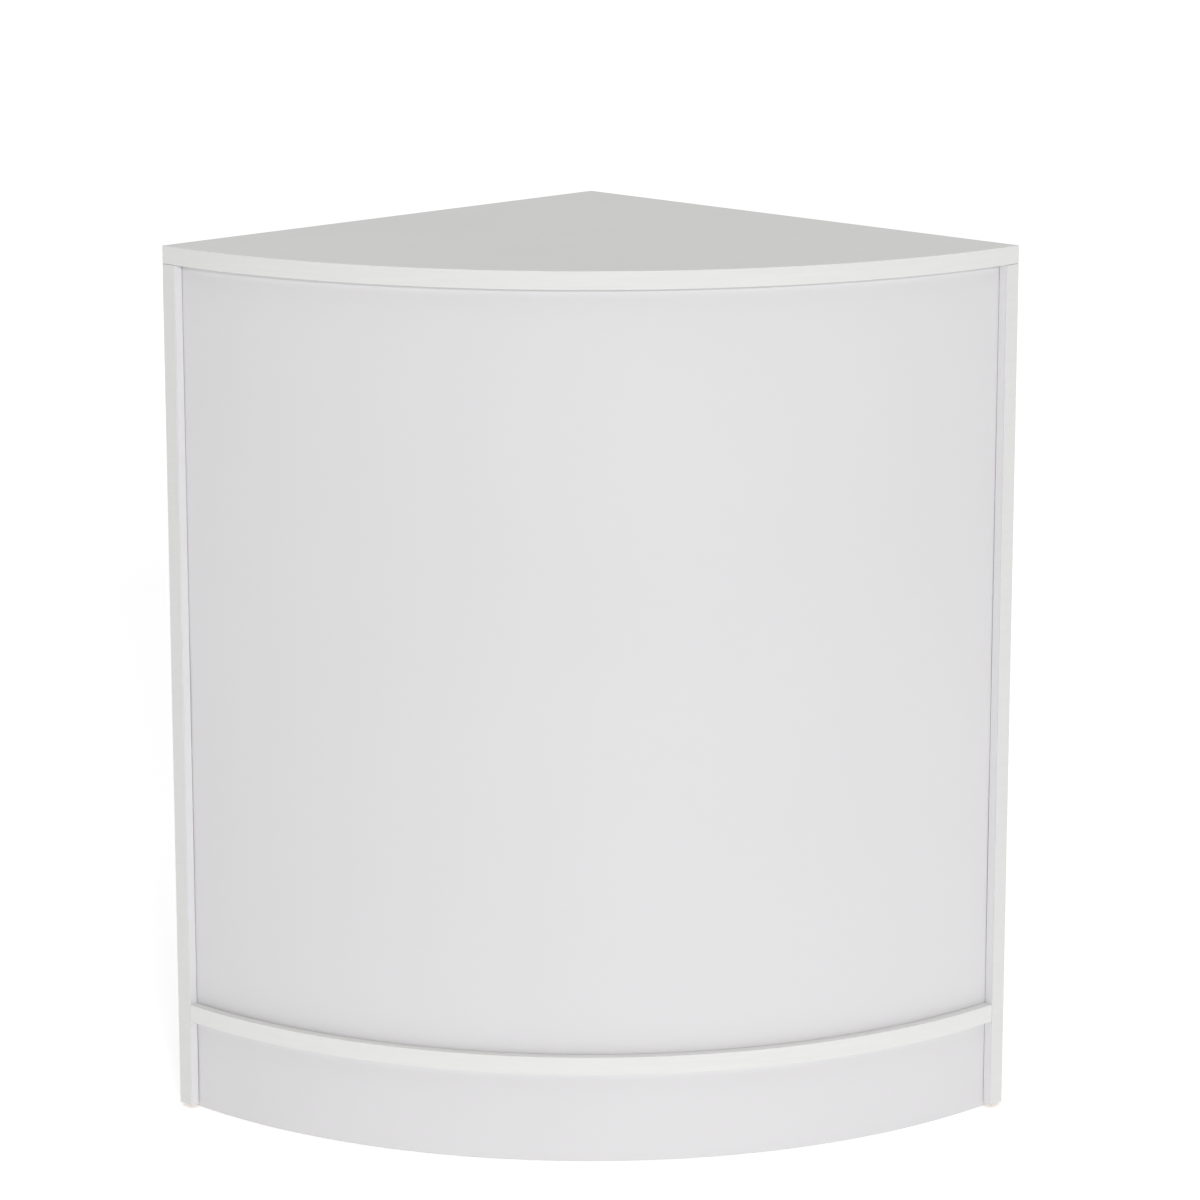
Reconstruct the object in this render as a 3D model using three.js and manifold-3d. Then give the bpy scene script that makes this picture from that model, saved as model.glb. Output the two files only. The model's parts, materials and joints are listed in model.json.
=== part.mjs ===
// Quarter-round checkout counter, flat-pack construction: a quadrant top on two side panels, a base board
// over a plinth, thin curved sheets held in grooves, an open staff side with a lift-out shelf, and four
// levelling feet. Millimetres, +Z up, customers stand at -Y and staff at +Y.
//
// The boards are laid out round the apex, the square corner of the quadrant. A side panel's own frame has
// u running from the apex towards the customers, v from its outer face inwards, and z up.
import * as THREE from "three";
import { mergeVertices } from "three/addons/utils/BufferGeometryUtils.js";
import Module from "manifold-3d";

// Driving dimensions
const RADIUS = 600; // straight side of the quadrant top
const HEIGHT = 895; // floor to worktop with the feet wound in
const BOARD = 18; // faced chipboard
const BAND = 1; // edge band
const SHEET = 3; // curved front and plinth sheets
const SIDE_DEPTH = 400; // side panel, front to rear
const PLINTH = 94; // floor to the underside of the base board
const FLOOR_GAP = 3; // side panels stand clear of the floor on their feet

// Fits
const GLUE = 0.1; // between a board and its edge band
const FIT = 0.3; // between boards that butt, and round anything in a hole
const SHEET_FIT = 0.5; // each side of a sheet in its groove
const SHELF_FIT = 1.5; // shelf to side panel

// Places that follow from them
const APEX_Y = RADIUS / 2;
const FRONT = RADIUS; // front edges of the side panels and the base board, flush with the worktop
const REAR = FRONT - SIDE_DEPTH;
const TOP_UNDER = HEIGHT - BOARD;
const BASE_TOP = PLINTH + BOARD;
const SHEET_SETBACK = 10;
const SHEET_OUT = FRONT - SHEET_SETBACK;
const SHEET_IN = SHEET_OUT - SHEET;
const GROOVE_DEPTH = 6.5; // in the top and base boards
const SIDE_GROOVE_DEPTH = 7.5;
const SHEET_BITE = 7; // how far a sheet goes into a side groove
const SHEET_END_FIT = 0.5;
const PLINTH_CLEAR = 0.5; // plinth sheet above the floor
const RIB_CLEAR = 1; // centre rib behind the plinth sheet
const QUARTER = Math.PI / 4;
const REAR_STEP = 1; // rear edges of the base and the shelf stand in from the panels' rear corners
const BASE_REAR = (REAR + BOARD) * Math.SQRT1_2 + REAR_STEP; // from the apex
const SHELF_UNDER = 480;

// How far a cutting tool passes beyond the face that it opens
const PAST = 1;

// Fastener stations along each side, measured from the apex
const STATIONS = { front: 520, rear: 262 };
const FOOT_STATIONS = { front: 548, rear: 232 };
const DOWEL_STATION = 391;

const ARC_STEPS = 28; // steps along a curved edge
const ROUND = 14; // sides of a small round piece
const SMALL_HOLE = 10; // sides of a peg hole or a screw hole

const wasm = await Module();
wasm.setup();

function material(color, roughness, metalness = 0) {
  return new THREE.MeshStandardMaterial({ color, roughness, metalness });
}

const melamine = material(0xe2e2e0, 0.5);
const edging = material(0xdededa, 0.4);
const hardboard = material(0xe1e1e4, 0.55);
const zinc = material(0xb4b6b8, 0.35, 1);
const steel = material(0xc4c6c8, 0.3, 1);
const beech = material(0xcfae84, 0.7);
const whitePlastic = material(0xe6e6e4, 0.4);
const blackPlastic = material(0x2a2a2b, 0.5);

// ---- Solids ----------------------------------------------------------------------------------------

function solidOf(geometry) {
  const bare = geometry.clone();
  bare.deleteAttribute("normal");
  bare.deleteAttribute("uv");
  const merged = mergeVertices(bare);
  const vertProperties = merged.attributes.position.array;
  const triVerts = new Uint32Array(merged.index.array);
  return new wasm.Manifold(new wasm.Mesh({ numProp: 3, vertProperties, triVerts }));
}

function geometryOf(solid) {
  const mesh = solid.getMesh();
  const geometry = new THREE.BufferGeometry();
  geometry.setAttribute("position", new THREE.BufferAttribute(mesh.vertProperties, 3));
  geometry.setIndex(new THREE.BufferAttribute(mesh.triVerts, 1));
  geometry.computeVertexNormals();
  return geometry;
}

function cut(geometry, tools) {
  let solid = solidOf(geometry);
  for (const tool of tools) solid = solid.subtract(solidOf(tool));
  return geometryOf(solid);
}

const join = (geometry, other) => geometryOf(solidOf(geometry).add(solidOf(other)));

function box([x0, x1], [y0, y1], [z0, z1]) {
  const geometry = new THREE.BoxGeometry(x1 - x0, y1 - y0, z1 - z0);
  return geometry.translate((x0 + x1) / 2, (y0 + y1) / 2, (z0 + z1) / 2);
}

// A round piece standing on z0. Its profile is a list of [radius, height above z0].
function turned(profile, x, y, z0, sides = ROUND) {
  const outline = profile.map(([r, z]) => new THREE.Vector2(r, z));
  const closed = [new THREE.Vector2(0, profile[0][1]), ...outline, new THREE.Vector2(0, profile.at(-1)[1])];
  return new THREE.LatheGeometry(closed, sides).rotateX(Math.PI / 2).translate(x, y, z0);
}

const rod = (r, x, y, [z0, z1], sides = ROUND) => turned([[r, 0], [r, z1 - z0]], x, y, z0, sides);

// The same, lying along +Y from y0.
function lying(profile, x, y0, z, sides = ROUND) {
  return turned(profile, 0, 0, 0, sides).rotateX(-Math.PI / 2).translate(x, y0, z);
}

const lyingRod = (r, x, [y0, y1], z, sides = ROUND) => lying([[r, 0], [r, y1 - y0]], x, y0, z, sides);

function extruded(shape, [z0, z1]) {
  const options = { depth: z1 - z0, bevelEnabled: false, curveSegments: ARC_STEPS };
  return new THREE.ExtrudeGeometry(shape, options).translate(0, 0, z0);
}

// ---- Outlines round the apex -----------------------------------------------------------------------

// A quadrant of this radius whose straight sides lie inset from the panels' outer faces. With rear, its
// tip is cut off square to the Y axis at that distance from the apex.
function quadrant(radius, inset, rear = 0) {
  const half = QUARTER - Math.asin(inset / radius);
  const tip = Math.max(rear, inset * Math.SQRT2);
  const tipHalfWidth = tip - inset * Math.SQRT2;
  const shape = new THREE.Shape();
  shape.moveTo(-tipHalfWidth, -tip);
  shape.lineTo(-radius * Math.sin(half), -radius * Math.cos(half));
  shape.absarc(0, 0, radius, -Math.PI / 2 - half, -Math.PI / 2 + half, false);
  if (tipHalfWidth > 0) shape.lineTo(tipHalfWidth, -tip);
  shape.closePath();
  return shape;
}

// A curved strip between two radii, ending short of each straight side.
function arcStrip(inner, outer, inset) {
  const half = QUARTER - Math.asin(inset / outer);
  const shape = new THREE.Shape();
  shape.absarc(0, 0, outer, -Math.PI / 2 - half, -Math.PI / 2 + half, false);
  shape.absarc(0, 0, inner, -Math.PI / 2 + half, -Math.PI / 2 - half, true);
  shape.closePath();
  return shape;
}

// A side's own frame in the apex frame. The right side mirrors the left.
function sideMatrix(side) {
  const left = side === "left";
  const turn = new THREE.Matrix4().makeRotationZ(left ? -3 * QUARTER : -QUARTER);
  return turn.multiply(new THREE.Matrix4().makeScale(1, left ? 1 : -1, 1));
}

// A cutting tool made in a side's frame, moved to the apex frame. Mirroring turns its faces round.
function atSide(side, geometry) {
  const moved = geometry.clone().applyMatrix4(sideMatrix(side));
  if (side === "right") {
    const index = moved.index.array;
    for (let i = 0; i < index.length; i += 3) [index[i + 1], index[i + 2]] = [index[i + 2], index[i + 1]];
  }
  return moved;
}

// ---- The assembly ----------------------------------------------------------------------------------

const counter = new THREE.Group();
const aroundApex = new THREE.Group();
aroundApex.position.y = APEX_Y;
counter.add(aroundApex);

const sides = {};
for (const side of ["left", "right"]) {
  sides[side] = new THREE.Group();
  sides[side].applyMatrix4(sideMatrix(side));
  aroundApex.add(sides[side]);
}

function put(group, name, geometry, look) {
  const mesh = new THREE.Mesh(geometry, look);
  mesh.name = name;
  group.add(mesh);
}

function eachStation(stations, make) {
  for (const side of ["left", "right"]) {
    for (const [where, u] of Object.entries(stations)) make(side, `${side}_${where}`, u);
  }
}

// Cam fittings: a stud screwed into one board, and a cam let into the other that pulls its head in.
const CAM = { radius: 7.5, height: 12.2, hole: 13, reach: 34, window: 3.6 };
const CROSS = { reach: 4.5, halfWidth: 0.8, depth: 1.6 }; // the driver recess in a cam's face
const STUD = { shank: 2.9, bite: 10, shoulder: 1.5, neck: 2.5, head: 3.2, headLength: 3.5, bore: 3.7 };
const CAM_OPEN_PAST_AXIS = 0.2;
const STUD_END = STUD.bite + CAM.reach - 1; // just past the middle of the cam's window
const MID = BOARD / 2;

// A stud's profile, from the tip of its thread to its head.
function studProfile() {
  const headStart = STUD_END - STUD.headLength;
  return [
    [STUD.shank, 0],
    [STUD.shank, STUD.bite],
    [STUD.neck, STUD.bite + STUD.shoulder],
    [STUD.neck, headStart - 1],
    [STUD.head, headStart],
    [STUD.head, STUD_END],
  ];
}

// A cam standing on z0, its window open towards -Y, with a cross recess in its lower face.
function camBody() {
  const { radius, height, window } = CAM;
  const across = [-window, window];
  const opening = box(across, [-radius - PAST, CAM_OPEN_PAST_AXIS], [MID - window, MID + window]);
  const long = [-CROSS.reach, CROSS.reach];
  const narrow = [-CROSS.halfWidth, CROSS.halfWidth];
  const deep = [-PAST, CROSS.depth];
  return cut(rod(radius, 0, 0, [0, height]), [opening, box(long, narrow, deep), box(narrow, long, deep)]);
}

// Top fittings: the stud hangs from the top board, and the cam is in the side panel's inner face.
const TOP_CAM_Z = TOP_UNDER - CAM.reach;

// Base fittings: the stud stands out of the side panel, and the cam is in the base board's underside.
const BASE_MID = PLINTH + MID;
const BASE_EDGE = BOARD + FIT; // where the base board meets a side panel
const BASE_CAM_V = BASE_EDGE + CAM.reach;

// Shelf pegs
const PEG = { pin: 2.3, pinLength: 9, collar: 4.2, collarLength: 0.8, arm: 3.5, armLength: 8.2 };
const PEG_HOLE = { radius: 2.6, depth: 10 };
const PEG_PITCH = 32;
const PEG_STEPS = 5; // holes above and below the pegs in use
const PEG_Z = SHELF_UNDER - GLUE - PEG.arm;

// Levelling feet
const FOOT = { stem: 4, bore: 4.4, pad: 12, padRim: 3, padHeight: 6, socket: 4, access: 6 };
const COLLAR = { radius: 7.2, from: 6.5, to: 12 }; // hexagon on the stem, against the block when wound in
const STEM_TOP = 54;
const DRIVER_SLOT = { halfWidth: 0.6, depth: 2 }; // in the stem's top, reached through the base board
const BLOCK = { width: 40, depth: 22, from: COLLAR.to + FIT, to: 44, fixingZ: 28, offset: 13 };
const SPIGOT = { radius: 4, length: 9 }; // moulded on the block, beside its screw
const SCREW = { shank: 1.7, bite: 12, head: 3.6, headLength: 2 };
const FOOT_V = BOARD + FIT + FOOT.pad;

const DOWEL = { radius: 4, from: TOP_UNDER - 18, to: TOP_UNDER + 11 };

// Where a foot block's screw and its spigot go in. The screw is the one nearer the panel's middle.
function blockFixings(end, u) {
  const inward = end === "front" ? -BLOCK.offset : BLOCK.offset;
  return { screwU: u + inward, spigotU: u - inward };
}

// ---- Top -------------------------------------------------------------------------------------------

// The curved groove that takes the sheets, as seen from above.
function grooveOutline() {
  return arcStrip(SHEET_IN - SHEET_FIT, SHEET_OUT + SHEET_FIT, BOARD - SIDE_GROOVE_DEPTH);
}

function addTop() {
  const high = [TOP_UNDER, HEIGHT];
  const tools = [extruded(grooveOutline(), [TOP_UNDER - PAST, TOP_UNDER + GROOVE_DEPTH])];
  eachStation(STATIONS, (side, where, u) => {
    const hole = [TOP_UNDER - PAST, TOP_UNDER + STUD.bite + FIT];
    tools.push(atSide(side, rod(STUD.shank + FIT, u, MID, hole)));
  });
  for (const side of ["left", "right"]) {
    const hole = [TOP_UNDER - PAST, DOWEL.to + FIT];
    tools.push(atSide(side, rod(DOWEL.radius + FIT, DOWEL_STATION, MID, hole)));
  }
  const core = extruded(quadrant(RADIUS - BAND - GLUE, BAND + GLUE), high);
  put(aroundApex, "top_board", cut(core, tools), melamine);

  const along = RADIUS - BAND - GLUE;
  put(aroundApex, "top_band_front", extruded(arcStrip(RADIUS - BAND, RADIUS, 0), high), edging);
  put(sides.left, "top_band_left", box([0, along], [0, BAND], high), edging);
  put(sides.right, "top_band_right", box([BAND + GLUE, along], [0, BAND], high), edging);
}

// ---- Side panels and what they carry ---------------------------------------------------------------

// A hole of this depth in a side panel's inner face.
function innerHole(r, u, depth, z, facets = ROUND) {
  return lyingRod(r, u, [BOARD - depth, BOARD + PAST], z, facets);
}

function sidePanelCuts() {
  const above = TOP_UNDER + PAST;
  const groove = [BOARD - SIDE_GROOVE_DEPTH, BOARD + PAST];
  const cuts = [
    box([SHEET_IN - SHEET_FIT, SHEET_OUT + SHEET_FIT], groove, [FLOOR_GAP - PAST, above]),
    rod(DOWEL.radius + FIT, DOWEL_STATION, MID, [DOWEL.from - FIT, above]),
  ];
  for (const u of Object.values(STATIONS)) {
    cuts.push(innerHole(CAM.radius + FIT, u, CAM.hole, TOP_CAM_Z));
    cuts.push(rod(STUD.bore, u, MID, [TOP_CAM_Z, above]));
    cuts.push(innerHole(STUD.shank + FIT, u, STUD.bite + FIT, BASE_MID));
    for (let step = -PEG_STEPS; step <= PEG_STEPS; step++) {
      cuts.push(innerHole(PEG_HOLE.radius, u, PEG_HOLE.depth, PEG_Z + step * PEG_PITCH, SMALL_HOLE));
    }
  }
  for (const [end, u] of Object.entries(FOOT_STATIONS)) {
    const { screwU, spigotU } = blockFixings(end, u);
    cuts.push(innerHole(SCREW.shank + FIT, screwU, SCREW.bite + FIT, BLOCK.fixingZ));
    cuts.push(innerHole(SPIGOT.radius + FIT, spigotU, SPIGOT.length + FIT, BLOCK.fixingZ));
  }
  return cuts;
}

function addSides() {
  const high = [FLOOR_GAP, TOP_UNDER - FIT];
  for (const [side, group] of Object.entries(sides)) {
    const depth = [REAR + BAND + GLUE, FRONT - BAND - GLUE];
    put(group, `side_panel_${side}`, cut(box(depth, [0, BOARD], high), sidePanelCuts()), melamine);
    put(group, `side_front_band_${side}`, box([FRONT - BAND, FRONT], [0, BOARD], high), edging);
    put(group, `side_rear_band_${side}`, box([REAR, REAR + BAND], [0, BOARD], high), edging);
    put(group, `top_dowel_${side}`, rod(DOWEL.radius, DOWEL_STATION, MID, [DOWEL.from, DOWEL.to]), beech);
  }
}

function addTopFittings() {
  eachStation(STATIONS, (side, where, u) => {
    const cam = camBody().rotateZ(Math.PI).rotateX(Math.PI / 2).translate(u, BOARD, TOP_CAM_Z);
    put(sides[side], `top_cam_${where}`, cam, zinc);
    const stud = turned(studProfile(), 0, 0, 0).rotateX(Math.PI);
    put(sides[side], `top_stud_${where}`, stud.translate(u, MID, TOP_UNDER + STUD.bite), steel);
  });
}

function addBaseFittings() {
  eachStation(STATIONS, (side, where, u) => {
    put(sides[side], `base_cam_${where}`, camBody().translate(u, BASE_CAM_V, PLINTH), zinc);
    put(sides[side], `base_stud_${where}`, lying(studProfile(), u, BOARD - STUD.bite, BASE_MID), steel);
  });
}

function addPegs() {
  const collarEnd = PEG.pinLength + PEG.collarLength;
  const profile = [
    [PEG.pin, 0],
    [PEG.pin, PEG.pinLength],
    [PEG.collar, PEG.pinLength],
    [PEG.collar, collarEnd],
    [PEG.arm, collarEnd],
    [PEG.arm, collarEnd + PEG.armLength],
  ];
  const start = BOARD + GLUE - PEG.pinLength;
  eachStation(STATIONS, (side, where, u) => {
    put(sides[side], `shelf_peg_${where}`, lying(profile, u, start, PEG_Z), whitePlastic);
  });
}

// The block that holds a foot's stem, screwed to the side panel and located in it by a spigot.
function footBlock(u, { screwU, spigotU }) {
  const inner = BOARD + FIT;
  const outer = inner + BLOCK.depth;
  const span = [u - BLOCK.width / 2, u + BLOCK.width / 2];
  const stemBore = rod(FOOT.bore, u, FOOT_V, [BLOCK.from - PAST, BLOCK.to + PAST]);
  const screwHole = [inner - PAST, outer + PAST];
  const screw = lyingRod(SCREW.shank + FIT, screwU, screwHole, BLOCK.fixingZ, SMALL_HOLE);
  const body = cut(box(span, [inner, outer], [BLOCK.from, BLOCK.to]), [stemBore, screw]);
  return join(body, lyingRod(SPIGOT.radius, spigotU, [BOARD - SPIGOT.length, inner + PAST], BLOCK.fixingZ));
}

// The stem, with a hexagon to turn it by hand and a slot to turn it from above.
function footStem(u) {
  const { halfWidth, depth } = DRIVER_SLOT;
  const across = [u - FOOT.stem - PAST, u + FOOT.stem + PAST];
  const slot = box(across, [FOOT_V - halfWidth, FOOT_V + halfWidth], [STEM_TOP - depth, STEM_TOP + PAST]);
  const shank = cut(rod(FOOT.stem, u, FOOT_V, [FOOT.socket + FIT, STEM_TOP]), [slot]);
  return join(shank, rod(COLLAR.radius, u, FOOT_V, [COLLAR.from, COLLAR.to], 6));
}

// The pad that the stem turns in.
function footPad(u) {
  const { pad, padRim, padHeight, socket, bore } = FOOT;
  const dish = turned([[pad, 0], [pad, padRim], [COLLAR.radius, padHeight]], u, FOOT_V, 0);
  return cut(dish, [rod(bore, u, FOOT_V, [socket, padHeight + PAST])]);
}

function addFeet() {
  eachStation(FOOT_STATIONS, (side, where, u) => {
    const fixings = blockFixings(where.split("_")[1], u);
    put(sides[side], `foot_block_${where}`, footBlock(u, fixings), blackPlastic);
    put(sides[side], `foot_stem_${where}`, footStem(u), steel);
    put(sides[side], `foot_pad_${where}`, footPad(u), blackPlastic);
  });
}

function addBlockScrews() {
  const { shank, bite, head, headLength } = SCREW;
  const length = bite + FIT + BLOCK.depth;
  const profile = [[shank, 0], [shank, length + GLUE], [head, length + GLUE], [head, length + headLength]];
  eachStation(FOOT_STATIONS, (side, where, u) => {
    const { screwU } = blockFixings(where.split("_")[1], u);
    put(sides[side], `foot_screw_${where}`, lying(profile, screwU, BOARD - bite, BLOCK.fixingZ), zinc);
  });
}

// ---- Base, plinth and shelf ------------------------------------------------------------------------

const RAIL_SETBACK = 56; // puts the rail clear of the rear feet
const RAIL_REAR = BASE_REAR + RAIL_SETBACK;
const RAIL_FRONT = RAIL_REAR + BOARD;
const RAIL_SCREW_X = 110;
const RIB_SCREW_Y = -430;
const BASE_SCREWS = {
  left: [-RAIL_SCREW_X, -RAIL_REAR - MID],
  right: [RAIL_SCREW_X, -RAIL_REAR - MID],
  centre: [0, RIB_SCREW_Y],
};
const LONG_SCREW = { length: 50, tip: 0.6, tipLength: 5, shank: 2.6, neck: 3.5 };
const SUNK_HEAD = { radius: 5, length: 2.6, below: 0.4 }; // below the base board's face
const LONG_SCREW_TIP_Z = BASE_TOP - LONG_SCREW.length;
const UNDER_BASE = [FLOOR_GAP, PLINTH - FIT];

const screwBore = (r, [x, y], [z0, z1]) => rod(r + FIT, x, y, [z0, z1]);

function baseCuts() {
  const headSeat = BASE_TOP - SUNK_HEAD.below - SUNK_HEAD.length - GLUE;
  const through = [PLINTH - PAST, BASE_TOP + PAST];
  const cuts = [
    extruded(grooveOutline(), [BASE_TOP - GROOVE_DEPTH, BASE_TOP + PAST]),
    extruded(grooveOutline(), [PLINTH - PAST, PLINTH + GROOVE_DEPTH]),
  ];
  eachStation(STATIONS, (side, where, u) => {
    cuts.push(atSide(side, rod(CAM.radius + FIT, u, BASE_CAM_V, [PLINTH - PAST, PLINTH + CAM.hole])));
    cuts.push(atSide(side, lyingRod(STUD.bore, u, [BOARD, BASE_CAM_V], BASE_MID)));
  });
  eachStation(FOOT_STATIONS, (side, where, u) => {
    cuts.push(atSide(side, rod(FOOT.access, u, FOOT_V, through)));
  });
  for (const at of Object.values(BASE_SCREWS)) {
    cuts.push(screwBore(LONG_SCREW.neck, at, through));
    cuts.push(screwBore(SUNK_HEAD.radius, at, [headSeat, BASE_TOP + PAST]));
  }
  return cuts;
}

function addBase() {
  const high = [PLINTH, BASE_TOP];
  const core = extruded(quadrant(FRONT - BAND - GLUE, BASE_EDGE, BASE_REAR + BAND + GLUE), high);
  put(aroundApex, "base_board", cut(core, baseCuts()), melamine);
  put(aroundApex, "base_front_band", extruded(arcStrip(FRONT - BAND, FRONT, BASE_EDGE), high), edging);
  addRearBand("base_rear_band", BASE_EDGE, high);
}

// The band on the straight rear edge of the base or the shelf.
function addRearBand(name, inset, high) {
  const half = BASE_REAR - inset * Math.SQRT2;
  put(aroundApex, name, box([-half, half], [-BASE_REAR - BAND, -BASE_REAR], high), edging);
}

function addSheets() {
  const strip = arcStrip(SHEET_IN, SHEET_OUT, BOARD - SHEET_BITE);
  const frontHigh = [BASE_TOP - GROOVE_DEPTH + SHEET_END_FIT, TOP_UNDER + GROOVE_DEPTH - SHEET_END_FIT];
  put(aroundApex, "front_sheet", extruded(strip, frontHigh), hardboard);
  const plinthHigh = [PLINTH_CLEAR, PLINTH + GROOVE_DEPTH - SHEET_END_FIT];
  put(aroundApex, "plinth_sheet", extruded(strip, plinthHigh), hardboard);
}

// The rear rail's outline, mitred to the side panels at both ends.
function railOutline() {
  const reach = (distance) => distance - BASE_EDGE * Math.SQRT2;
  const rail = new THREE.Shape();
  rail.moveTo(-reach(RAIL_REAR), -RAIL_REAR);
  rail.lineTo(-reach(RAIL_FRONT), -RAIL_FRONT);
  rail.lineTo(reach(RAIL_FRONT), -RAIL_FRONT);
  rail.lineTo(reach(RAIL_REAR), -RAIL_REAR);
  rail.closePath();
  return rail;
}

function addPlinthFrame() {
  const bore = (where) => {
    const high = [LONG_SCREW_TIP_Z - 2 * PAST, PLINTH + PAST];
    return screwBore(LONG_SCREW.shank, BASE_SCREWS[where], high);
  };
  const rail = extruded(railOutline(), UNDER_BASE);
  put(aroundApex, "rear_plinth_rail", cut(rail, [bore("left"), bore("right")]), melamine);
  const rib = box([-MID, MID], [-SHEET_IN + RIB_CLEAR, -RAIL_FRONT - FIT], UNDER_BASE);
  put(aroundApex, "centre_plinth_rib", cut(rib, [bore("centre")]), melamine);
}

function addBaseScrews() {
  const { length, tip, tipLength, shank, neck } = LONG_SCREW;
  const headTop = length - SUNK_HEAD.below;
  const headStart = headTop - SUNK_HEAD.length;
  const profile = [
    [tip, 0],
    [shank, tipLength],
    [shank, length - BOARD],
    [neck, length - BOARD + 1],
    [neck, headStart],
    [SUNK_HEAD.radius, headStart],
    [SUNK_HEAD.radius, headTop],
  ];
  for (const [where, [x, y]] of Object.entries(BASE_SCREWS)) {
    put(aroundApex, `base_screw_${where}`, turned(profile, x, y, LONG_SCREW_TIP_Z), zinc);
  }
}

function addShelf() {
  const inset = BOARD + SHELF_FIT;
  const high = [SHELF_UNDER, SHELF_UNDER + BOARD];
  const outline = quadrant(SHEET_IN - 2 * SHELF_FIT, inset, BASE_REAR + BAND + GLUE);
  put(aroundApex, "shelf_board", extruded(outline, high), melamine);
  addRearBand("shelf_rear_band", inset, high);
}

addTop();
addSides();
addTopFittings();
addBaseFittings();
addPegs();
addFeet();
addBlockScrews();
addBase();
addSheets();
addPlinthFrame();
addBaseScrews();
addShelf();

export default counter;
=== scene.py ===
import json
import math

import bmesh
import bpy
from mathutils import Matrix, Vector, noise

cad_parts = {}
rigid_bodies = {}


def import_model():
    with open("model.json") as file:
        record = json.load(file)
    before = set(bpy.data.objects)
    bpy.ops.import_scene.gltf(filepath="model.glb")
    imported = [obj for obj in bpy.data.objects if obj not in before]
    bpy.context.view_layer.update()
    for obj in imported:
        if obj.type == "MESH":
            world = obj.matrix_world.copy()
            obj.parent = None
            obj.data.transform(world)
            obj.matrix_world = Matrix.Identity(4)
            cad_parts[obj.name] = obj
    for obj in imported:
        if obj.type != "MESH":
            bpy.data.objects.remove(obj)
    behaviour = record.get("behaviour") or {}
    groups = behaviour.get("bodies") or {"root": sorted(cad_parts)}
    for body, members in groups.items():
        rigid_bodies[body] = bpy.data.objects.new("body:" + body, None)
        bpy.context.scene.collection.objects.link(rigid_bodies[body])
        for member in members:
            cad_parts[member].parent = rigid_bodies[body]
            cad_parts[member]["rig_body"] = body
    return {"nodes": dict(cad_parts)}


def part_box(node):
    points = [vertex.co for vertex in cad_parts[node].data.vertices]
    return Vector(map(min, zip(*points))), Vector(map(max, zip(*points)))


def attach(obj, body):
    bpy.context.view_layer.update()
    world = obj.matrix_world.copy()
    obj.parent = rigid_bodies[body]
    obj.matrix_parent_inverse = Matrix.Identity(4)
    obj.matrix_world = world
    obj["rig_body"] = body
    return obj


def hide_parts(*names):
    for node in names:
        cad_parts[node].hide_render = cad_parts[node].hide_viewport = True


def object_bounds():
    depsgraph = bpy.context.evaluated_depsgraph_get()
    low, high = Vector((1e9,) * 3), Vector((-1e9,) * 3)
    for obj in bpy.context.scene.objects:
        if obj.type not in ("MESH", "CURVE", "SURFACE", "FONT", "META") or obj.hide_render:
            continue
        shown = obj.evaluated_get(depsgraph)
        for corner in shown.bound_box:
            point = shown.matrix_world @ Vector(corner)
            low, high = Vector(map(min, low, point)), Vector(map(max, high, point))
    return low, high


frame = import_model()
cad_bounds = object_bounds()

MM = 0.001
HALF_SQRT = math.sqrt(0.5)
SIDES = ("left", "right")
STATIONS = [f"{side}_{end}" for side in SIDES for end in ("front", "rear")]

# Sizes read from the frame
APEX_Y = cad_bounds[1].y
RADIUS = APEX_Y - cad_bounds[0].y
TOP_LOW, TOP_HIGH = (corner.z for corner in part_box("top_board"))
BOARD = TOP_HIGH - TOP_LOW
BASE_LOW, BASE_HIGH = (corner.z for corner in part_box("base_board"))
SHELF_LOW, SHELF_HIGH = (corner.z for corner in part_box("shelf_board"))
PANEL_LOW, PANEL_HIGH = (corner.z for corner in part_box("side_panel_left"))
FRONT = APEX_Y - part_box("base_front_band")[0].y
REAR_BAND_LOW, REAR_BAND_HIGH = (corner.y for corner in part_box("base_rear_band"))
BAND = REAR_BAND_HIGH - REAR_BAND_LOW
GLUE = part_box("top_board")[0].y - cad_bounds[0].y - BAND
BASE_REAR = APEX_Y - REAR_BAND_HIGH
SHEET_OUT = APEX_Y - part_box("front_sheet")[0].y
PANEL_REAR = -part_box("side_rear_band_left")[0].x / HALF_SQRT - BAND

# Sizes that the frame's boxes do not give
SHEET = 3 * MM
SHEET_IN = SHEET_OUT - SHEET
SHEET_BITE = 7 * MM  # how far a sheet goes into a side groove
SHEET_FIT = 0.5 * MM  # each side of a sheet in its groove
SIDE_LIP_FIT = 0.2 * MM  # outside it at a side panel, where the gap shows
GROOVE = 6.5 * MM  # depth in the top and base boards
SIDE_GROOVE = 7.5 * MM  # depth in the side panels
FIT = 0.3 * MM  # between boards that butt, and round anything in a hole
SHELF_FIT = 1.5 * MM  # shelf to side panel
MID = BOARD / 2
BASE_EDGE = BOARD + FIT  # the base board's sides, from the panels' outer faces

PAST = 1 * MM  # how far a cutter passes beyond the face that it opens
THROUGH = 30 * MM  # deeper than any board
AXIS = 0.01 * MM  # radius that stands for the axis at the end of a turned piece
FACING = 0.9  # a face looks along an axis when its normal has more than this of it

EASE = 0.45 * MM
BAND_EASE = 0.35 * MM
PANEL_EASE = 0.3 * MM
EASE_ABOVE = 35.0  # degrees between the faces of an edge that is eased
EASE_SEGMENTS = 3
CREASE = 40.0  # degrees between the faces of an edge that stays sharp
SHEET_CREASE = 50.0

ARC_STEPS = 160
ROUND_SIDES = 32
HOLE_SIDES = 28
THREAD_SIDES = 24
THREAD_ROWS = 6  # for each turn of a thread


# ---- Shader helpers --------------------------------------------------------------------------------

MIX_A, MIX_B, MIX_RESULT = 6, 7, 2  # the colour sockets of a Mix node
NOISE_LOW, NOISE_HIGH = 0.3, 0.7  # nearly all of a noise texture lies between these


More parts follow.
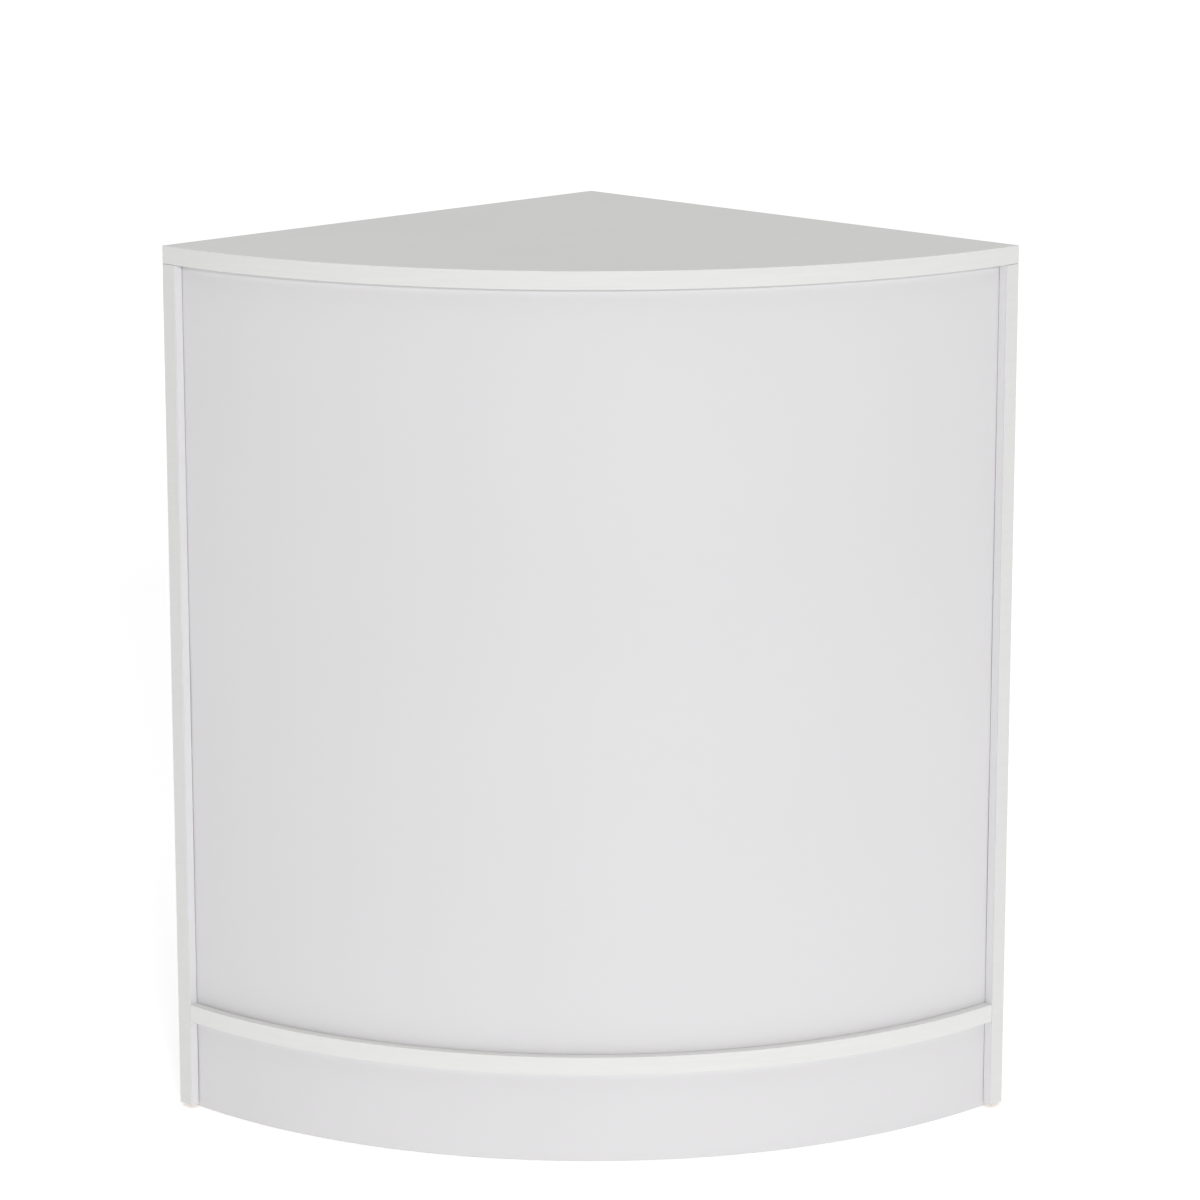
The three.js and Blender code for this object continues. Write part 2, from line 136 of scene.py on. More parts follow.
class Shader:
    """A Principled material, with short calls for the texture nodes that feed it."""

    def __init__(self, name, color, roughness, metallic=0.0, specular=0.5):
        self.material = bpy.data.materials.new(name)
        self.material.use_nodes = True
        self.tree = self.material.node_tree
        self.principled = self.tree.nodes["Principled BSDF"]
        self.set("Base Color", (*color, 1.0))
        self.set("Roughness", roughness)
        self.set("Metallic", metallic)
        self.set("Specular IOR Level", specular)
        self.coords = self.node("ShaderNodeTexCoord").outputs["Object"]

    def node(self, kind, **values):
        made = self.tree.nodes.new(kind)
        for key, value in values.items():
            setattr(made, key, value)
        return made

    def set(self, socket, value):
        self.principled.inputs[socket].default_value = value

    def link(self, source, target):
        self.tree.links.new(source, target)

    def stretched(self, scale):
        mapping = self.node("ShaderNodeMapping")
        mapping.inputs["Scale"].default_value = scale
        self.link(self.coords, mapping.inputs["Vector"])
        return mapping.outputs["Vector"]

    def noise(self, scale, detail=2.0, rough=0.5, vector=None):
        made = self.node("ShaderNodeTexNoise")
        made.inputs["Scale"].default_value = scale
        made.inputs["Detail"].default_value = detail
        made.inputs["Roughness"].default_value = rough
        self.link(vector or self.coords, made.inputs["Vector"])
        return made.outputs["Fac"]

    def cells(self, scale):
        made = self.node("ShaderNodeTexVoronoi")
        made.inputs["Scale"].default_value = scale
        self.link(self.coords, made.inputs["Vector"])
        return made.outputs["Distance"]

    def remap(self, source, low, high, to_low=0.0, to_high=1.0):
        made = self.node("ShaderNodeMapRange")
        sockets = ("From Min", "From Max", "To Min", "To Max")
        for socket, value in zip(sockets, (low, high, to_low, to_high)):
            made.inputs[socket].default_value = value
        self.link(source, made.inputs["Value"])
        return made.outputs["Result"]

    def spread(self, source, to_low=0.0, to_high=1.0):
        """A noise texture, spread over a range."""
        return self.remap(source, NOISE_LOW, NOISE_HIGH, to_low, to_high)

    def math(self, operation, a, b):
        made = self.node("ShaderNodeMath", operation=operation)
        for socket, value in zip(made.inputs, (a, b)):
            if isinstance(value, (int, float)):
                socket.default_value = value
            else:
                self.link(value, socket)
        return made.outputs[0]

    def mix(self, factor, a, b):
        """Mixes two colours, each a tuple or an output."""
        made = self.node("ShaderNodeMix", data_type="RGBA")
        self.link(factor, made.inputs["Factor"])
        for socket, value in ((made.inputs[MIX_A], a), (made.inputs[MIX_B], b)):
            if isinstance(value, tuple):
                socket.default_value = (*value, 1.0)
            else:
                self.link(value, socket)
        return made.outputs[MIX_RESULT]

    def color(self, source):
        self.link(source, self.principled.inputs["Base Color"])

    def mottle(self, source, color, darker, lighter):
        """Varies a colour's brightness with a noise texture."""
        self.color(self.mix(self.spread(source), shade(color, darker), shade(color, lighter)))

    def roughness(self, source):
        self.link(source, self.principled.inputs["Roughness"])

    def bump(self, height, distance, strength=1.0):
        made = self.node("ShaderNodeBump")
        made.inputs["Distance"].default_value = distance
        made.inputs["Strength"].default_value = strength
        self.link(height, made.inputs["Height"])
        self.link(made.outputs["Normal"], self.principled.inputs["Normal"])


def shade(color, factor):
    return tuple(channel * factor for channel in color)


# ---- Materials -------------------------------------------------------------------------------------

BOARD_WHITE = (0.735, 0.735, 0.725)
# The side panels' melamine is the boards' white made lighter: painted light, for the light that bounces
# onto their inner faces. It is a little cooler as well.
PANEL_PAINTED_LIGHT_WHITE = (0.765, 0.76, 0.775)
BAND_WHITE = (0.77, 0.77, 0.762)
SHEET_WHITE = (0.72, 0.71, 0.72)


def melamine(name, white):
    """Satin faced board: a fine pearl texture, with slow changes in tone and sheen."""
    shader = Shader(name, white, 0.42, specular=0.45)
    shader.mottle(shader.noise(3.1, detail=3.0), white, darker=0.985, lighter=1.012)
    sheen = shader.noise(9.0, detail=4.0, rough=0.6)
    shader.roughness(shader.spread(sheen, 0.38, 0.47))
    pearl = shader.noise(950.0)
    pits = shader.math("MULTIPLY", shader.cells(620.0), 0.6)
    shader.bump(shader.math("ADD", pearl, pits), distance=0.02 * MM, strength=0.35)
    return shader.material


def edge_band(name, tone):
    """ABS band: a little warmer and smoother than the board, with faint drag lines from the trimmer. Its
    tone gives lighter and darker copies of the one band, painted light and shade.
    """
    # tone scales the band's white: painted light and shade, lighter where more light falls on a piece.
    white = shade(BAND_WHITE, tone)
    shader = Shader(name, white, 0.36, specular=0.5)
    lines = shader.noise(260.0, vector=shader.stretched((0.06, 0.06, 1.0)))
    shader.mottle(lines, white, darker=0.985, lighter=1.01)
    shader.roughness(shader.spread(lines, 0.31, 0.42))
    shader.bump(lines, distance=0.01 * MM, strength=0.4)
    return shader.material


def sheet_face():
    """Thin flexible sheet with a smooth cool face and a trace of orange peel."""
    shader = Shader("sheet_face", SHEET_WHITE, 0.4, specular=0.42)
    shader.mottle(shader.noise(2.3), SHEET_WHITE, darker=0.988, lighter=1.01)
    sheen = shader.noise(14.0, detail=4.0, rough=0.6)
    shader.roughness(shader.spread(sheen, 0.36, 0.45))
    peel = shader.noise(330.0, detail=3.0)
    shader.bump(peel, distance=0.03 * MM, strength=0.3)
    return shader.material


def chipboard():
    """Raw chipboard, where a board is drilled, grooved or left without a band."""
    shader = Shader("chipboard", (0.45, 0.33, 0.2), 0.85, specular=0.2)
    flakes = shader.cells(520.0)
    flake_tone = shader.remap(flakes, 0.0, 0.9)
    fibres = shader.noise(900.0, detail=4.0, rough=0.7)
    flaked = shader.mix(flake_tone, (0.56, 0.43, 0.28), (0.3, 0.2, 0.11))
    shader.color(shader.mix(shader.remap(fibres, 0.35, 0.7), flaked, (0.62, 0.5, 0.34)))
    shader.bump(shader.math("ADD", flakes, fibres), distance=0.25 * MM, strength=0.7)
    return shader.material


def beech():
    """Raw beech with its grain and dark pores along Z."""
    shader = Shader("beech", (0.55, 0.36, 0.2), 0.6, specular=0.3)
    grain = shader.noise(700.0, detail=3.0, vector=shader.stretched((1.0, 1.0, 0.06)))
    pores = shader.noise(2400.0, detail=1.0, vector=shader.stretched((1.0, 1.0, 0.03)))
    wood = shader.mix(shader.spread(grain), (0.62, 0.43, 0.25), (0.46, 0.29, 0.15))
    shader.color(shader.mix(shader.remap(pores, 0.62, 0.75), wood, (0.3, 0.18, 0.09)))
    shader.bump(grain, distance=0.05 * MM, strength=0.5)
    return shader.material


def metal(name, color, roughness, grain_scale, grain_stretch=(1.0, 1.0, 1.0)):
    """Cast or plated metal: mottled plating and a grain that breaks up the highlight."""
    shader = Shader(name, color, roughness, metallic=1.0)
    shader.mottle(shader.noise(240.0, detail=3.0), color, darker=0.86, lighter=1.06)
    grain = shader.noise(grain_scale, detail=3.0, vector=shader.stretched(grain_stretch))
    shader.roughness(shader.spread(grain, roughness * 0.75, roughness * 1.3))
    shader.bump(grain, distance=0.03 * MM, strength=0.5)
    return shader.material


def plastic(name, color, roughness):
    """Moulded plastic with a fine spark-eroded texture."""
    shader = Shader(name, color, roughness, specular=0.45)
    shader.mottle(shader.noise(60.0), color, darker=0.92, lighter=1.06)
    texture = shader.noise(2600.0)
    shader.roughness(shader.spread(texture, roughness * 0.85, roughness * 1.15))
    shader.bump(texture, distance=0.04 * MM, strength=0.45)
    return shader.material


MELAMINE = melamine("melamine", BOARD_WHITE)
# A lighter copy of the melamine for the side panels: painted light.
PANEL_PAINTED_LIGHT_MELAMINE = melamine("panel_melamine_painted_light", PANEL_PAINTED_LIGHT_WHITE)
# One band in three tones, painted light and shade: the base band lightest, for the light that the floor
# throws up onto it, the top band a little darker, and the panel bands darker still.
BASE_BAND_PAINTED_LIGHT = edge_band("base_edge_band_painted_light", tone=1.0)
TOP_BAND_PAINTED_SHADE = edge_band("top_edge_band_painted_shade", tone=0.985)
PANEL_BAND_PAINTED_SHADE = edge_band("panel_edge_band_painted_shade", tone=0.955)
SHEET_FACE = sheet_face()
CHIPBOARD = chipboard()
BEECH = beech()
CAST_ZINC = metal("cast_zinc", (0.5, 0.51, 0.52), roughness=0.42, grain_scale=1500.0)
BRIGHT_STEEL = metal("bright_steel", (0.66, 0.66, 0.65), roughness=0.28, grain_scale=900.0,
                     grain_stretch=(1.0, 1.0, 0.2))
SCREW_ZINC = metal("screw_zinc", (0.64, 0.64, 0.6), roughness=0.34, grain_scale=1200.0)
WHITE_PLASTIC = plastic("white_plastic", (0.78, 0.78, 0.77), roughness=0.38)
BLACK_PLASTIC = plastic("black_plastic", (0.022, 0.022, 0.024), roughness=0.45)


# ---- Mesh helpers ----------------------------------------------------------------------------------

def finished(name, shape, *materials, crease=CREASE):
    """A new object from a bmesh, smooth apart from the edges sharper than the crease."""
    bmesh.ops.recalc_face_normals(shape, faces=shape.faces)
    mesh = bpy.data.meshes.new(name)
    shape.to_mesh(mesh)
    shape.free()
    for material in materials:
        mesh.materials.append(material)
    smooth(mesh, crease)
    made = bpy.data.objects.new(name, mesh)
    bpy.context.scene.collection.objects.link(made)
    return made


def smooth(mesh, crease=CREASE):
    mesh.polygons.foreach_set("use_smooth", [True] * len(mesh.polygons))
    mesh.set_sharp_from_angle(angle=math.radians(crease))


def ease_edges(shape, amount):
    """Rounds the sharp edges."""
    limit = math.radians(EASE_ABOVE)
    chosen = [e for e in shape.edges if len(e.link_faces) == 2 and e.calc_face_angle(0.0) > limit]
    bmesh.ops.bevel(shape, geom=chosen, offset=amount, segments=EASE_SEGMENTS, profile=0.5,
                    affect="EDGES", clamp_overlap=True)


def prism(outline, low, high, ease=0.0):
    """An outline raised from one height to another."""
    shape = bmesh.new()
    rings = [[shape.verts.new((x, y, z)) for x, y in outline] for z in (low, high)]
    shape.faces.new(reversed(rings[0]))
    shape.faces.new(rings[1])
    count = len(outline)
    for i in range(count):
        j = (i + 1) % count
        shape.faces.new((rings[0][i], rings[0][j], rings[1][j], rings[1][i]))
    bmesh.ops.recalc_face_normals(shape, faces=shape.faces)
    if ease:
        ease_edges(shape, ease)
    return shape


def block(x, y, z, ease=0.0):
    """A box between pairs of limits."""
    outline = [(x[0], y[0]), (x[1], y[0]), (x[1], y[1]), (x[0], y[1])]
    return prism(outline, z[0], z[1], ease)


def skin(shape, rings):
    """Closes a stack of rings of vertices into a solid."""
    count = len(rings[0])
    for low, high in zip(rings, rings[1:]):
        for i in range(count):
            j = (i + 1) % count
            shape.faces.new((low[i], low[j], high[j], high[i]))
    shape.faces.new(reversed(rings[0]))
    shape.faces.new(rings[-1])


def turned(profile, sides=ROUND_SIDES):
    """A solid of revolution about Z from [radius, height] points, with flat ends."""
    shape = bmesh.new()
    rings = []
    angles = [2 * math.pi * i / sides for i in range(sides)]
    for radius, z in profile:
        ring = [(radius * math.cos(a), radius * math.sin(a), z) for a in angles]
        rings.append([shape.verts.new(point) for point in ring])
    skin(shape, rings)
    return shape


SHARE = 0.45  # the most of a profile's line that one rounded corner takes


def rounded(profile, radius, steps=3):
    """Rounds each inner corner of a [radius, height] profile."""
    points = [Vector((r, z)) for r, z in profile]
    out = [points[0]]
    for before, corner, after in zip(points, points[1:], points[2:]):
        shorter = min((before - corner).length, (after - corner).length)
        reach = min(radius, shorter * SHARE)
        start = corner + (before - corner).normalized() * reach
        end = corner + (after - corner).normalized() * reach
        for i in range(steps + 1):
            t = i / steps
            out.append(start * (1 - t) ** 2 + corner * 2 * t * (1 - t) + end * t ** 2)
    out.append(points[-1])
    return [(p.x, p.y) for p in out]


POINT = 0.12  # a screw's width at its point, as a share of the thread's


def threaded(radius, depth, pitch, low, high, tip=0.0):
    """A helical thread about Z. It fades in and out over a turn, and narrows to a point over the tip."""
    shape = bmesh.new()
    steps = max(2, round((high - low) / pitch * THREAD_ROWS))
    rings = []
    for k in range(steps + 1):
        z = low + (high - low) * k / steps
        fade = min(1.0, (z - low) / pitch, (high - z) / pitch)
        narrow = min(1.0, POINT + (1.0 - POINT) * (z - low) / tip) if tip else 1.0
        ring = []
        for i in range(THREAD_SIDES):
            turn = i / THREAD_SIDES
            phase = (z / pitch - turn) % 1.0
            crest = 1.0 - abs(2.0 * phase - 1.0)
            reach = (radius - depth * (1.0 - crest * fade)) * narrow
            angle = 2 * math.pi * turn
            ring.append(shape.verts.new((reach * math.cos(angle), reach * math.sin(angle), z)))
        rings.append(ring)
    skin(shape, rings)
    return shape


def placed(shape, at, axis=(0, 0, 1), facing=(1, 0, 0)):
    """Turns local Z to the axis and local X as near as it can to facing, then moves the origin."""
    up = Vector(axis).normalized()
    across = Vector(facing)
    across = (across - up * across.dot(up)).normalized()
    turn = Matrix((across, up.cross(across), up)).transposed().to_4x4()
    bmesh.ops.transform(shape, matrix=Matrix.Translation(at) @ turn, verts=shape.verts)
    return shape


def merged(*shapes):
    """Several shells, which don't touch each other, in one bmesh."""
    whole = bmesh.new()
    for shape in shapes:
        part = bpy.data.meshes.new("part")
        shape.to_mesh(part)
        shape.free()
        whole.from_mesh(part)
        bpy.data.meshes.remove(part)
    return whole


def combine(target, operation, *tools):
    """Cuts or joins each tool, a bmesh, and gives cut faces the chipboard if the target has it."""
    for tool in tools:
        helper = finished("tool", tool, *target.data.materials[-1:])
        step = target.modifiers.new("step", "BOOLEAN")
        step.operation = operation
        step.object = helper
        step.solver = "MANIFOLD"
        step.material_mode = "TRANSFER"
        bpy.context.view_layer.update()
        graph = bpy.context.evaluated_depsgraph_get()
        mesh = bpy.data.meshes.new_from_object(target.evaluated_get(graph))
        target.modifiers.clear()
        old = target.data
        target.data = mesh
        bpy.data.meshes.remove(old)
        bpy.data.objects.remove(helper)
    smooth(target.data)


def flatten_faces(target):
    """Weights normals by face area, so that flat faces stay flat beside their eased edges."""
    target.modifiers.new("weighted", "WEIGHTED_NORMAL").keep_sharp = True
    return target


def stand_for(piece, node):
    """Puts a finished piece on its node's body, in the node's place."""
    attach(piece, frame["nodes"][node]["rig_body"])
    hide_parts(node)


# ---- Outlines round the apex -----------------------------------------------------------------------

def plan(side, u, v):
    """A point in a side's own frame, on the floor plan."""
    x = HALF_SQRT * (v - u)
    return (x if side == "left" else -x), APEX_Y - HALF_SQRT * (u + v)


def inward(side):
    """The direction of v."""
    return Vector((HALF_SQRT if side == "left" else -HALF_SQRT, -HALF_SQRT, 0))


def forward(side):
    """The direction of u."""
    return Vector((-HALF_SQRT if side == "left" else HALF_SQRT, -HALF_SQRT, 0))


def place(side, u, v, z):
    """A point in a side's own frame, in space."""
    return Vector((*plan(side, u, v), z))


def station(node):
    """A node's middle in its side's frame, as (side, u, v, z)."""
    low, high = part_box(node)
    middle = (low + high) / 2
    side = "left" if "left" in node else "right"
    away = middle - Vector((0, APEX_Y, 0))
    return side, away.dot(forward(side)), away.dot(inward(side)), middle.z


def arc(radius, half):
    """Points on a curve round the apex, from left to right."""
    angles = [-math.pi / 2 - half + 2 * half * i / ARC_STEPS for i in range(ARC_STEPS + 1)]
    return [(radius * math.cos(a), APEX_Y + radius * math.sin(a)) for a in angles]


def half_angle(radius, inset):
    """Half of the angle between the two points of a curve that lie inset from the outer faces."""
    return math.pi / 4 - math.asin(inset / radius)


def quadrant(radius, inset, rear=0.0):
    """A quadrant whose straight sides lie inset from the panels' outer faces, its tip cut off at rear."""
    tip = max(rear, inset / HALF_SQRT)
    width = tip - inset / HALF_SQRT
    corner = [(-width, APEX_Y - tip)]
    if width > 0:
        corner = [(width, APEX_Y - tip), *corner]
    return corner + arc(radius, half_angle(radius, inset))


def arc_strip(inner, outer, inset, low, high, ease=0.0):
    """A curved strip between two radii."""
    shape = bmesh.new()
    half = half_angle(outer, inset)
    rings = []
    for near, far in zip(arc(inner, half), arc(outer, half)):
        section = ((*near, low), (*far, low), (*far, high), (*near, high))
        rings.append([shape.verts.new(point) for point in section])
    skin(shape, rings)
    bmesh.ops.recalc_face_normals(shape, faces=shape.faces)
    if ease:
        ease_edges(shape, ease)
    return shape


# ---- Boards ----------------------------------------------------------------------------------------

def drill(radius, depth):
    """A cutter that goes depth into a face at its origin, along -Z, with a broken edge at the mouth."""
    flare, over = 0.25 * MM, 0.5 * MM
    profile = [(radius, -depth), (radius, -flare), (radius + flare, 0), (radius + flare, over)]
    return turned(profile, HOLE_SIDES)


def raw_where(target, test):
    """Gives the chipboard, the target's last material, to faces that pass the test."""
    raw = len(target.data.materials) - 1
    for face in target.data.polygons:
        if test(face):
            face.material_index = raw


def board(name, outline, low, high, ease=EASE, face=MELAMINE):
    """A faced board. The chipboard comes last, where combine and raw_where look for it."""
    return finished(name, prism(outline, low, high, ease), face, CHIPBOARD)


def groove(low, high):
    """The cutter for a curved groove that holds a sheet."""
    return arc_strip(SHEET_IN - SHEET_FIT, SHEET_OUT + SHEET_FIT, BOARD - SIDE_GROOVE, low, high)


STUD_BORE = 3.2 * MM
STUD_RUN = 3.7 * MM
STUD_BITE = 10 * MM
CAM_RADIUS = 7.5 * MM
CAM_HEIGHT = 12.2 * MM
CAM_HOLE = 13 * MM
CAM_REACH = 34 * MM
DOWEL = 4 * MM
DOWEL_BORE = 4.3 * MM
UP = Vector((0, 0, 1))


def make_top():
    inset = BAND + GLUE
    top = board("top_board_fine", quadrant(RADIUS - inset, inset), TOP_LOW, TOP_HIGH)
    bores = []
    for where in STATIONS:
        side, u, _, _ = station(f"top_cam_{where}")
        bores.append(placed(drill(STUD_BORE, STUD_BITE + FIT), place(side, u, MID, TOP_LOW), -UP))
    for side in SIDES:
        low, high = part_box(f"top_dowel_{side}")
        middle = (low + high) / 2
        bores.append(placed(drill(DOWEL_BORE, high.z - TOP_LOW + FIT), (middle.x, middle.y, TOP_LOW), -UP))
    combine(top, "DIFFERENCE", groove(TOP_LOW - PAST, TOP_LOW + GROOVE), merged(*bores))
    stand_for(flatten_faces(top), "top_board")

    front = arc_strip(RADIUS - BAND, RADIUS, 0, TOP_LOW, TOP_HIGH, BAND_EASE)
    piece = finished("top_band_front_fine", front, TOP_BAND_PAINTED_SHADE)
    stand_for(flatten_faces(piece), "top_band_front")
    along = RADIUS - BAND - GLUE
    for side in SIDES:
        start = 0 if side == "left" else BAND + GLUE
        side_band(f"top_band_{side}", side, (start, along), (TOP_LOW, TOP_HIGH), BAND, TOP_BAND_PAINTED_SHADE)


def side_band(node, side, u_range, z_range, depth, material):
    """A straight band in a side's frame, from its outer face to this depth."""
    near, far = u_range
    outline = [plan(side, u, v) for u, v in ((near, 0), (far, 0), (far, depth), (near, depth))]
    piece = finished(f"{node}_fine", prism(outline, *z_range, BAND_EASE), material)
    stand_for(flatten_faces(piece), node)


PEG_PITCH = 32 * MM
PEG_STEPS = 5  # holes above the shelf's, and as many below
PEG_HOLE = 2.6 * MM
PEG_HOLE_DEPTH = 10 * MM


def make_panel(side):
    lip = SHEET_OUT + SIDE_LIP_FIT
    back = SHEET_IN - SHEET_FIT
    floor = BOARD - SIDE_GROOVE
    rear = PANEL_REAR + BAND + GLUE
    front = FRONT - BAND - GLUE
    corners = [(rear, 0), (front, 0), (front, BOARD), (lip, BOARD), (lip, floor), (back, floor),
               (back, BOARD), (rear, BOARD)]
    outline = [plan(side, u, v) for u, v in corners]
    name = f"side_panel_{side}_fine"
    panel = board(name, outline, PANEL_LOW, PANEL_HIGH, PANEL_EASE, PANEL_PAINTED_LIGHT_MELAMINE)
    raw_where(panel, lambda face: abs(face.normal.z) > FACING or in_groove(side, face.center, lip, back))

    into = inward(side)
    pegs, cams, studs = [], [], []
    for end in ("front", "rear"):
        _, u, _, cam_z = station(f"top_cam_{side}_{end}")
        peg_z = station(f"shelf_peg_{side}_{end}")[3]
        for step in range(-PEG_STEPS, PEG_STEPS + 1):
            at = place(side, u, BOARD, peg_z + step * PEG_PITCH)
            pegs.append(placed(drill(PEG_HOLE, PEG_HOLE_DEPTH), at, into))
        cams.append(placed(drill(CAM_RADIUS + FIT, CAM_HOLE), place(side, u, BOARD, cam_z), into))
        studs.append(placed(drill(STUD_RUN, PANEL_HIGH - cam_z), place(side, u, MID, PANEL_HIGH), UP))
        base_z = station(f"base_stud_{side}_{end}")[3]
        pegs.append(placed(drill(STUD_BORE, STUD_BITE + FIT), place(side, u, BOARD, base_z), into))
        pegs += block_fixing_holes(side, end)
    low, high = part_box(f"top_dowel_{side}")
    middle = (low + high) / 2
    dowel_hole = drill(DOWEL_BORE, PANEL_HIGH - low.z + FIT)
    studs.append(placed(dowel_hole, (middle.x, middle.y, PANEL_HIGH), UP))
    combine(panel, "DIFFERENCE", merged(*pegs), merged(*cams), merged(*studs))
    stand_for(flatten_faces(panel), f"side_panel_{side}")

    z_range = (PANEL_LOW, PANEL_HIGH)
    for node, u in (("side_front_band", FRONT - BAND), ("side_rear_band", PANEL_REAR)):
        side_band(f"{node}_{side}", side, (u, u + BAND), z_range, BOARD, PANEL_BAND_PAINTED_SHADE)


def in_groove(side, point, lip, back):
    slack, shallow = 0.01 * MM, 0.5 * MM
    away = Vector(point) - Vector((0, APEX_Y, 0))
    u, v = away.dot(forward(side)), away.dot(inward(side))
    return back - slack < u < lip + slack and v < BOARD - shallow


ACCESS_HOLE = 6 * MM  # over each foot, for the screwdriver that turns its stem
ACCESS_FLARE = 0.4 * MM
SCREW_PLACES = ("left", "right", "centre")
SCREW_HOLE = 3.8 * MM
HEAD_HOLE = 5.3 * MM
HEAD_DEPTH = 3.5 * MM


def make_base():
    outline = quadrant(FRONT - BAND - GLUE, BASE_EDGE, BASE_REAR + BAND + GLUE)
    base = board("base_board_fine", outline, BASE_LOW, BASE_HIGH)
    cams, studs, holes = [], [], []
    for where in STATIONS:
        side, u, v, _ = station(f"base_cam_{where}")
        stud_z = station(f"base_stud_{where}")[3]
        cams.append(placed(drill(CAM_RADIUS + FIT, CAM_HOLE), place(side, u, v, BASE_LOW), -UP))
        run = drill(STUD_RUN, CAM_REACH)
        studs.append(placed(run, place(side, u, BASE_EDGE, stud_z), -inward(side)))
        access = [(ACCESS_HOLE, -THROUGH), (ACCESS_HOLE, 0), (ACCESS_HOLE + ACCESS_FLARE, PAST)]
        holes.append(placed(turned(access), (*foot_centre(where), BASE_HIGH)))
    for where in SCREW_PLACES:
        counterbore = [(SCREW_HOLE, -THROUGH), (SCREW_HOLE, -HEAD_DEPTH), (HEAD_HOLE, -HEAD_DEPTH),
                       (HEAD_HOLE, PAST)]
        holes.append(placed(turned(counterbore), (*screw_centre(where), BASE_HIGH)))
    grooves = [groove(BASE_HIGH - GROOVE, BASE_HIGH + PAST), groove(BASE_LOW - PAST, BASE_LOW + GROOVE)]
    combine(base, "DIFFERENCE", *grooves, merged(*cams), merged(*studs), merged(*holes))
    stand_for(flatten_faces(base), "base_board")

    front = arc_strip(FRONT - BAND, FRONT, BASE_EDGE, BASE_LOW, BASE_HIGH, BAND_EASE)
    piece = finished("base_front_band_fine", front, BASE_BAND_PAINTED_LIGHT)
    stand_for(flatten_faces(piece), "base_front_band")
    make_rear_band("base_rear_band")


def block_of(node, ease):
    """A node's box, with eased edges."""
    low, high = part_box(node)
    return block((low.x, high.x), (low.y, high.y), (low.z, high.z), ease)


def make_rear_band(node):
    piece = finished(f"{node}_fine", block_of(node, BAND_EASE), BASE_BAND_PAINTED_LIGHT)
    stand_for(flatten_faces(piece), node)


def make_shelf():
    outline = quadrant(SHEET_IN - 2 * SHELF_FIT, BOARD + SHELF_FIT, BASE_REAR + BAND + GLUE)
    shelf = board("shelf_board_fine", outline, SHELF_LOW, SHELF_HIGH)
    stand_for(flatten_faces(shelf), "shelf_board")
    make_rear_band("shelf_rear_band")


def make_plinth_frame():
    low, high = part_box("rear_plinth_rail")
    slope = high.y - low.y
    outline = [(low.x + slope, high.y), (low.x, low.y), (high.x, low.y), (high.x - slope, high.y)]
    rail = board("rear_plinth_rail_fine", outline, low.z, high.z)
    raw_where(rail, lambda face: abs(face.normal.y) < FACING)
    bores = [screw_bore(where, high.z) for where in ("left", "right")]
    combine(rail, "DIFFERENCE", merged(*bores))
    stand_for(flatten_faces(rail), "rear_plinth_rail")

    node = "centre_plinth_rib"
    rib = finished(f"{node}_fine", block_of(node, EASE), MELAMINE, CHIPBOARD)
    raw_where(rib, lambda face: abs(face.normal.x) < FACING)
    combine(rib, "DIFFERENCE", screw_bore("centre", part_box(node)[1].z))
    stand_for(flatten_faces(rib), node)


def screw_bore(where, top):
    """The cutter for a long screw's hole, down from a board's top edge to just past the screw's tip."""
    radius, below = 2.9 * MM, 2 * MM
    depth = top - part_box(f"base_screw_{where}")[0].z + below
    return placed(drill(radius, depth), (*screw_centre(where), top))


# ---- Curved sheets ---------------------------------------------------------------------------------

WAVE_REACH = math.radians(5.0)  # how far from a side groove a sheet ripples
HELD_WITHIN = 30 * MM  # how far from its top and bottom grooves a sheet is held true
SET_BACK = 0.12 * MM  # how far a sheet that is held true stands behind the middle of its play
SLOW_WAVE = 0.16 * MM
QUICK_WAVE = 0.42 * MM
WAVE_OUT = 0.12 * MM
WAVE_IN = 0.34 * MM
FRONT_ROWS = 72
PLINTH_ROWS = 12


def make_sheet(node, rows):
    """A sheet sprung into its grooves. It ripples a little between them, more near the side panels."""
    low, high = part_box(node)
    half = half_angle(SHEET_OUT, BOARD - SHEET_BITE)
    shape = bmesh.new()
    faces = []
    for radius in (SHEET_OUT, SHEET_IN):
        grid = []
        for i in range(ARC_STEPS + 1):
            angle = -half + 2 * half * i / ARC_STEPS
            grid.append([])
            for j in range(rows + 1):
                z = low.z + (high.z - low.z) * j / rows
                reach = radius + ripple(angle, half, z, high.z - z, z - low.z)
                point = (reach * math.sin(angle), APEX_Y - reach * math.cos(angle), z)
                grid[i].append(shape.verts.new(point))
        faces.append(grid)
    outer, inner = faces
    for i in range(ARC_STEPS):
        for j in range(rows):
            shape.faces.new((outer[i][j], outer[i + 1][j], outer[i + 1][j + 1], outer[i][j + 1]))
            shape.faces.new((inner[i + 1][j], inner[i][j], inner[i][j + 1], inner[i + 1][j + 1]))
        for j in (0, rows):
            shape.faces.new((outer[i][j], inner[i][j], inner[i + 1][j], outer[i + 1][j]))
    for j in range(rows):
        for i in (0, ARC_STEPS):
            shape.faces.new((outer[i][j], outer[i][j + 1], inner[i][j + 1], inner[i][j]))
    piece = finished(f"{node}_fine", shape, SHEET_FACE, crease=SHEET_CREASE)
    stand_for(piece, node)


def ripple(angle, half, z, below_top, above_bottom):
    """How far out the sheet stands here. It never leaves the play of its grooves."""
    from_side = half - abs(angle)
    side_pull = math.exp(-((from_side / WAVE_REACH) ** 2))
    held = min(1.0, below_top / HELD_WITHIN, above_bottom / HELD_WITHIN)
    slow = noise.noise(Vector((angle * 2.2, z * 2.0, 3.7)))
    quick = noise.noise(Vector((math.copysign(5.0, angle), z * 9.0, 1.3)))
    wave = SLOW_WAVE * slow + QUICK_WAVE * side_pull * quick
    return -SET_BACK + held * min(WAVE_OUT, max(-WAVE_IN, wave))


# ---- Fittings --------------------------------------------------------------------------------------

